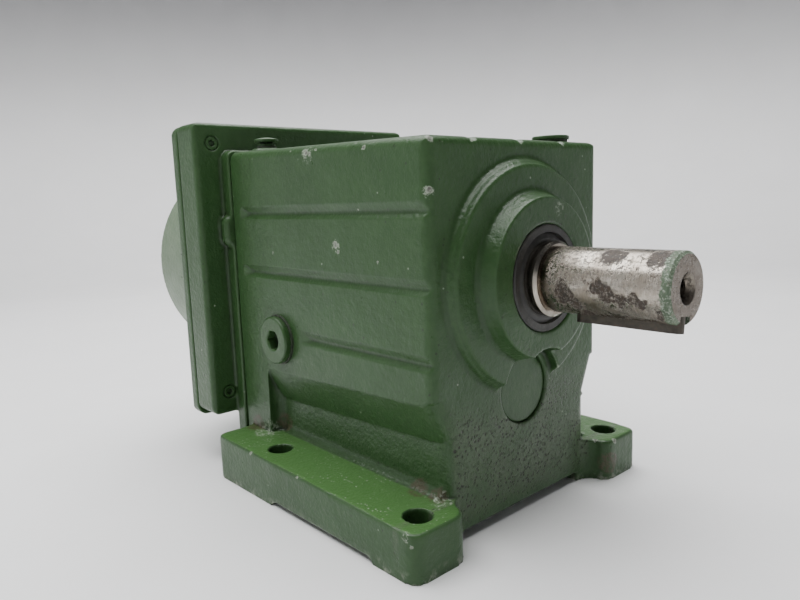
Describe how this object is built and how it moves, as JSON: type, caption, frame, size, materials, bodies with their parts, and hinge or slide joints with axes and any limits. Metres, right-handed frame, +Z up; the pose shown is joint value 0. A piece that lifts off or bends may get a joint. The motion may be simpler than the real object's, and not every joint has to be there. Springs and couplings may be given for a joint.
{
  "type": "inline gear reducer",
  "caption": "Foot-mounted inline helical-style gear reducer with a keyed solid output shaft, a two-stage gear train and a flanged motor adapter with a hollow input shaft.",
  "frame": {"origin": "centre of the four foot bolt holes, on the mounting plane under the feet", "axes": "+X along the output shaft towards its free end, +Z up from the mounting plane, +Y completes a right-handed set"},
  "size_m": [0.336, 0.176, 0.2042],
  "materials": {
    "green_paint": "worn semi-gloss paint on cast iron",
    "painted_steel": "worn semi-gloss paint on steel",
    "seal_rubber": "matt moulded rubber",
    "bearing_steel": "ground and polished",
    "bearing_balls": "polished balls in a pressed cage",
    "shaft_steel": "turned steel with light rust",
    "key_steel": "dark key steel",
    "gear_steel": "hobbed and oiled",
    "bare_iron": "bare casting with machined faces",
    "gasket": "gasket paper",
    "plug_ring": "moulded sealing ring",
    "dark_steel": "black oxide",
    "plain_steel": "turned"
  },
  "bodies": {
    "gearbox": {"housing": "green_paint", "closing_cap": "green_paint", "side_plugs": "painted_steel", "side_plug_rings": "plug_ring", "breather": "painted_steel", "top_plug": "painted_steel", "top_plug_rings": "plug_ring", "cover_gasket": "gasket", "rear_cover": "green_paint", "cover_screws": "dark_steel", "cover_dowels": "bearing_steel", "adapter_gasket": "gasket", "input_adapter": "green_paint", "adapter_screws": "painted_steel", "bearing_bracket": "bare_iron", "bracket_screws": "dark_steel", "bracket_dowels": "bearing_steel", "seal_case": "seal_rubber", "seal_lip": "seal_rubber", "seal_spring": "plain_steel", "out_front_bearing_outer": "bearing_steel", "out_rear_bearing_outer": "bearing_steel", "counter_front_bearing_outer": "bearing_steel", "counter_rear_bearing_outer": "bearing_steel", "input_front_bearing_outer": "bearing_steel", "input_rear_bearing_outer": "bearing_steel", "input_seal_case": "seal_rubber", "input_seal_lip": "seal_rubber"},
    "output": {"output_shaft": "shaft_steel", "output_key": "key_steel", "output_gear": "gear_steel", "output_gear_key": "plain_steel", "output_spacer": "plain_steel", "output_circlip": "plain_steel", "out_front_bearing_inner": "bearing_steel", "out_rear_bearing_inner": "bearing_steel"},
    "counter": {"countershaft": "gear_steel", "counter_gear": "gear_steel", "counter_gear_key": "plain_steel", "counter_spacer": "plain_steel", "counter_circlip": "plain_steel", "counter_front_bearing_inner": "bearing_steel", "counter_rear_bearing_inner": "bearing_steel"},
    "input": {"input_shaft": "gear_steel", "input_spacer": "plain_steel", "input_circlip": "plain_steel", "input_front_bearing_inner": "bearing_steel", "input_rear_bearing_inner": "bearing_steel"},
    "out_front_balls": {"out_front_bearing_balls": "bearing_balls"},
    "out_rear_balls": {"out_rear_bearing_balls": "bearing_balls"},
    "counter_front_balls": {"counter_front_bearing_balls": "bearing_balls"},
    "counter_rear_balls": {"counter_rear_bearing_balls": "bearing_balls"},
    "input_front_balls": {"input_front_bearing_balls": "bearing_balls"},
    "input_rear_balls": {"input_rear_bearing_balls": "bearing_balls"}
  },
  "joints": [
    {"name": "output_spin", "type": "hinge", "parent": "gearbox", "child": "output", "pos_m": [0, 0, 0.118], "axis": [1, 0, 0], "continuous": true},
    {"name": "counter_spin", "type": "hinge", "parent": "gearbox", "child": "counter", "pos_m": [0, 0, 0.063], "axis": [1, 0, 0], "continuous": true},
    {"name": "input_spin", "type": "hinge", "parent": "gearbox", "child": "input", "pos_m": [0, 0, 0.118], "axis": [1, 0, 0], "continuous": true},
    {"name": "out_front_balls_spin", "type": "hinge", "parent": "gearbox", "child": "out_front_balls", "pos_m": [0, 0, 0.118], "axis": [1, 0, 0], "continuous": true},
    {"name": "out_rear_balls_spin", "type": "hinge", "parent": "gearbox", "child": "out_rear_balls", "pos_m": [0, 0, 0.118], "axis": [1, 0, 0], "continuous": true},
    {"name": "counter_front_balls_spin", "type": "hinge", "parent": "gearbox", "child": "counter_front_balls", "pos_m": [0, 0, 0.063], "axis": [1, 0, 0], "continuous": true},
    {"name": "counter_rear_balls_spin", "type": "hinge", "parent": "gearbox", "child": "counter_rear_balls", "pos_m": [0, 0, 0.063], "axis": [1, 0, 0], "continuous": true},
    {"name": "input_front_balls_spin", "type": "hinge", "parent": "gearbox", "child": "input_front_balls", "pos_m": [0, 0, 0.118], "axis": [1, 0, 0], "continuous": true},
    {"name": "input_rear_balls_spin", "type": "hinge", "parent": "gearbox", "child": "input_rear_balls", "pos_m": [0, 0, 0.118], "axis": [1, 0, 0], "continuous": true}
  ],
  "couplings": [
    {"joint": "counter_spin", "follows": "output_spin", "ratio": -2.9286},
    {"joint": "input_spin", "follows": "output_spin", "ratio": 11.389},
    {"joint": "out_front_balls_spin", "follows": "output_spin", "ratio": 0.41856},
    {"joint": "out_rear_balls_spin", "follows": "output_spin", "ratio": 0.41647},
    {"joint": "counter_front_balls_spin", "follows": "output_spin", "ratio": -1.1187},
    {"joint": "counter_rear_balls_spin", "follows": "output_spin", "ratio": -1.12},
    {"joint": "input_front_balls_spin", "follows": "output_spin", "ratio": 4.526},
    {"joint": "input_rear_balls_spin", "follows": "output_spin", "ratio": 4.526}
  ]
}
